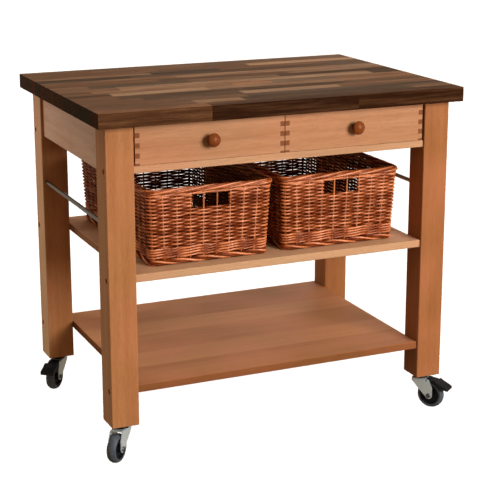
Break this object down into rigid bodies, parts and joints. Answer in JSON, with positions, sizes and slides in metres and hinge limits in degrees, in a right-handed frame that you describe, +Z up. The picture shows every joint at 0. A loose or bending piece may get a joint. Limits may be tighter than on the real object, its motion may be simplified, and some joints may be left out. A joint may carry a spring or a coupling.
{
  "type": "butcher block kitchen trolley",
  "caption": "Butcher block trolley on swivel casters with comb-jointed drawers, open shelves, wicker baskets and end towel rails.",
  "frame": {"origin": "on the floor, under the middle of the worktop", "axes": "+Z up, +X along the long side to the right as seen from the drawers, -Y towards the user in front of the drawers"},
  "size_m": [1.0114, 0.7119, 0.9],
  "materials": {
    "walnut_staves": "oiled walnut butcher block, staves glued side by side",
    "beech_frame": "oiled beech",
    "drawer_beech": "oiled beech, comb joints",
    "drawer_ply": "thin birch plywood",
    "knob_wood": "turned and oiled",
    "rail_steel": "satin steel rod",
    "screw_steel": "zinc plated",
    "bracket_steel": "zinc plated pressed steel",
    "wicker": "woven willow, varnished",
    "caster_tyre": "grey rubber",
    "caster_plastic": "black moulded plastic",
    "caster_zinc": "zinc plated pressed steel"
  },
  "bodies": {
    "frame": {"back_apron": "beech_frame", "bottom_shelf": "beech_frame", "bracket_screws": "screw_steel", "caster_back_left_stem": "caster_zinc", "caster_back_right_stem": "caster_zinc", "caster_front_left_stem": "caster_zinc", "caster_front_right_stem": "caster_zinc", "cross_dowels": "screw_steel", "drawer_rail": "beech_frame", "drawer_runner_centre": "beech_frame", "drawer_runner_left": "beech_frame", "drawer_runner_right": "beech_frame", "drawer_stops": "beech_frame", "end_apron_left": "beech_frame", "end_apron_right": "beech_frame", "frame_bolts": "screw_steel", "leg_back_left": "beech_frame", "leg_back_right": "beech_frame", "leg_front_left": "beech_frame", "leg_front_right": "beech_frame", "middle_shelf": "beech_frame", "towel_rail_left": "rail_steel", "towel_rail_right": "rail_steel", "worktop": "walnut_staves", "worktop_brackets": "bracket_steel"},
    "drawer_left": {"drawer_left_back": "drawer_beech", "drawer_left_bottom": "drawer_ply", "drawer_left_front": "drawer_beech", "drawer_left_knob": "knob_wood", "drawer_left_knob_screw": "screw_steel", "drawer_left_left_side": "drawer_beech", "drawer_left_right_side": "drawer_beech"},
    "basket_left": {"basket_left": "wicker"},
    "drawer_right": {"drawer_right_back": "drawer_beech", "drawer_right_bottom": "drawer_ply", "drawer_right_front": "drawer_beech", "drawer_right_knob": "knob_wood", "drawer_right_knob_screw": "screw_steel", "drawer_right_left_side": "drawer_beech", "drawer_right_right_side": "drawer_beech"},
    "basket_right": {"basket_right": "wicker"},
    "caster_front_left_swivel": {"caster_front_left_fork": "caster_zinc", "caster_front_left_axle": "caster_zinc"},
    "caster_front_left_wheel": {"caster_front_left_hub": "caster_plastic", "caster_front_left_tyre": "caster_tyre"},
    "caster_front_right_swivel": {"caster_front_right_fork": "caster_zinc", "caster_front_right_axle": "caster_zinc"},
    "caster_front_right_wheel": {"caster_front_right_hub": "caster_plastic", "caster_front_right_tyre": "caster_tyre"},
    "caster_front_right_pedal": {"caster_front_right_brake_pedal": "caster_plastic"},
    "caster_back_left_swivel": {"caster_back_left_fork": "caster_zinc", "caster_back_left_axle": "caster_zinc"},
    "caster_back_left_wheel": {"caster_back_left_hub": "caster_plastic", "caster_back_left_tyre": "caster_tyre"},
    "caster_back_left_pedal": {"caster_back_left_brake_pedal": "caster_plastic"},
    "caster_back_right_swivel": {"caster_back_right_fork": "caster_zinc", "caster_back_right_axle": "caster_zinc"},
    "caster_back_right_wheel": {"caster_back_right_hub": "caster_plastic", "caster_back_right_tyre": "caster_tyre"}
  },
  "joints": [
    {"name": "drawer_left_slide", "type": "slide", "parent": "frame", "child": "drawer_left", "axis": [0, -1, 0], "range_m": [0, 0.38]},
    {"name": "basket_left_slide", "type": "slide", "parent": "frame", "child": "basket_left", "axis": [0, -1, 0], "range_m": [0, 0.3]},
    {"name": "drawer_right_slide", "type": "slide", "parent": "frame", "child": "drawer_right", "axis": [0, -1, 0], "range_m": [0, 0.38]},
    {"name": "basket_right_slide", "type": "slide", "parent": "frame", "child": "basket_right", "axis": [0, -1, 0], "range_m": [0, 0.3]},
    {"name": "caster_front_left_swivel_turn", "type": "hinge", "parent": "frame", "child": "caster_front_left_swivel", "pos_m": [-0.439, -0.284, 0.084], "axis": [0, 0, 1], "continuous": true},
    {"name": "caster_front_left_wheel_spin", "type": "hinge", "parent": "caster_front_left_swivel", "child": "caster_front_left_wheel", "pos_m": [-0.46021, -0.30521, 0.0375], "axis": [0.7071, -0.7071, 0], "continuous": true},
    {"name": "caster_front_right_swivel_turn", "type": "hinge", "parent": "frame", "child": "caster_front_right_swivel", "pos_m": [0.439, -0.284, 0.084], "axis": [0, 0, 1], "continuous": true},
    {"name": "caster_front_right_wheel_spin", "type": "hinge", "parent": "caster_front_right_swivel", "child": "caster_front_right_wheel", "pos_m": [0.45705, -0.30796, 0.0375], "axis": [0.7986, 0.6018, 0], "continuous": true},
    {"name": "caster_front_right_pedal_tilt", "type": "hinge", "parent": "caster_front_right_swivel", "child": "caster_front_right_pedal", "pos_m": [0.45224, -0.30157, 0.0795], "axis": [-0.7986, -0.6018, 0], "range_deg": [0, 10]},
    {"name": "caster_back_left_swivel_turn", "type": "hinge", "parent": "frame", "child": "caster_back_left_swivel", "pos_m": [-0.439, 0.274, 0.084], "axis": [0, 0, 1], "continuous": true},
    {"name": "caster_back_left_wheel_spin", "type": "hinge", "parent": "caster_back_left_swivel", "child": "caster_back_left_wheel", "pos_m": [-0.45868, 0.25136, 0.0375], "axis": [0.7547, -0.6561, 0], "continuous": true},
    {"name": "caster_back_left_pedal_tilt", "type": "hinge", "parent": "caster_back_left_swivel", "child": "caster_back_left_pedal", "pos_m": [-0.45343, 0.2574, 0.0795], "axis": [-0.7547, 0.6561, 0], "range_deg": [0, 10]},
    {"name": "caster_back_right_swivel_turn", "type": "hinge", "parent": "frame", "child": "caster_back_right_swivel", "pos_m": [0.439, 0.274, 0.084], "axis": [0, 0, 1], "continuous": true},
    {"name": "caster_back_right_wheel_spin", "type": "hinge", "parent": "caster_back_right_swivel", "child": "caster_back_right_wheel", "pos_m": [0.41081, 0.26374, 0.0375], "axis": [0.342, -0.9397, 0], "continuous": true}
  ]
}
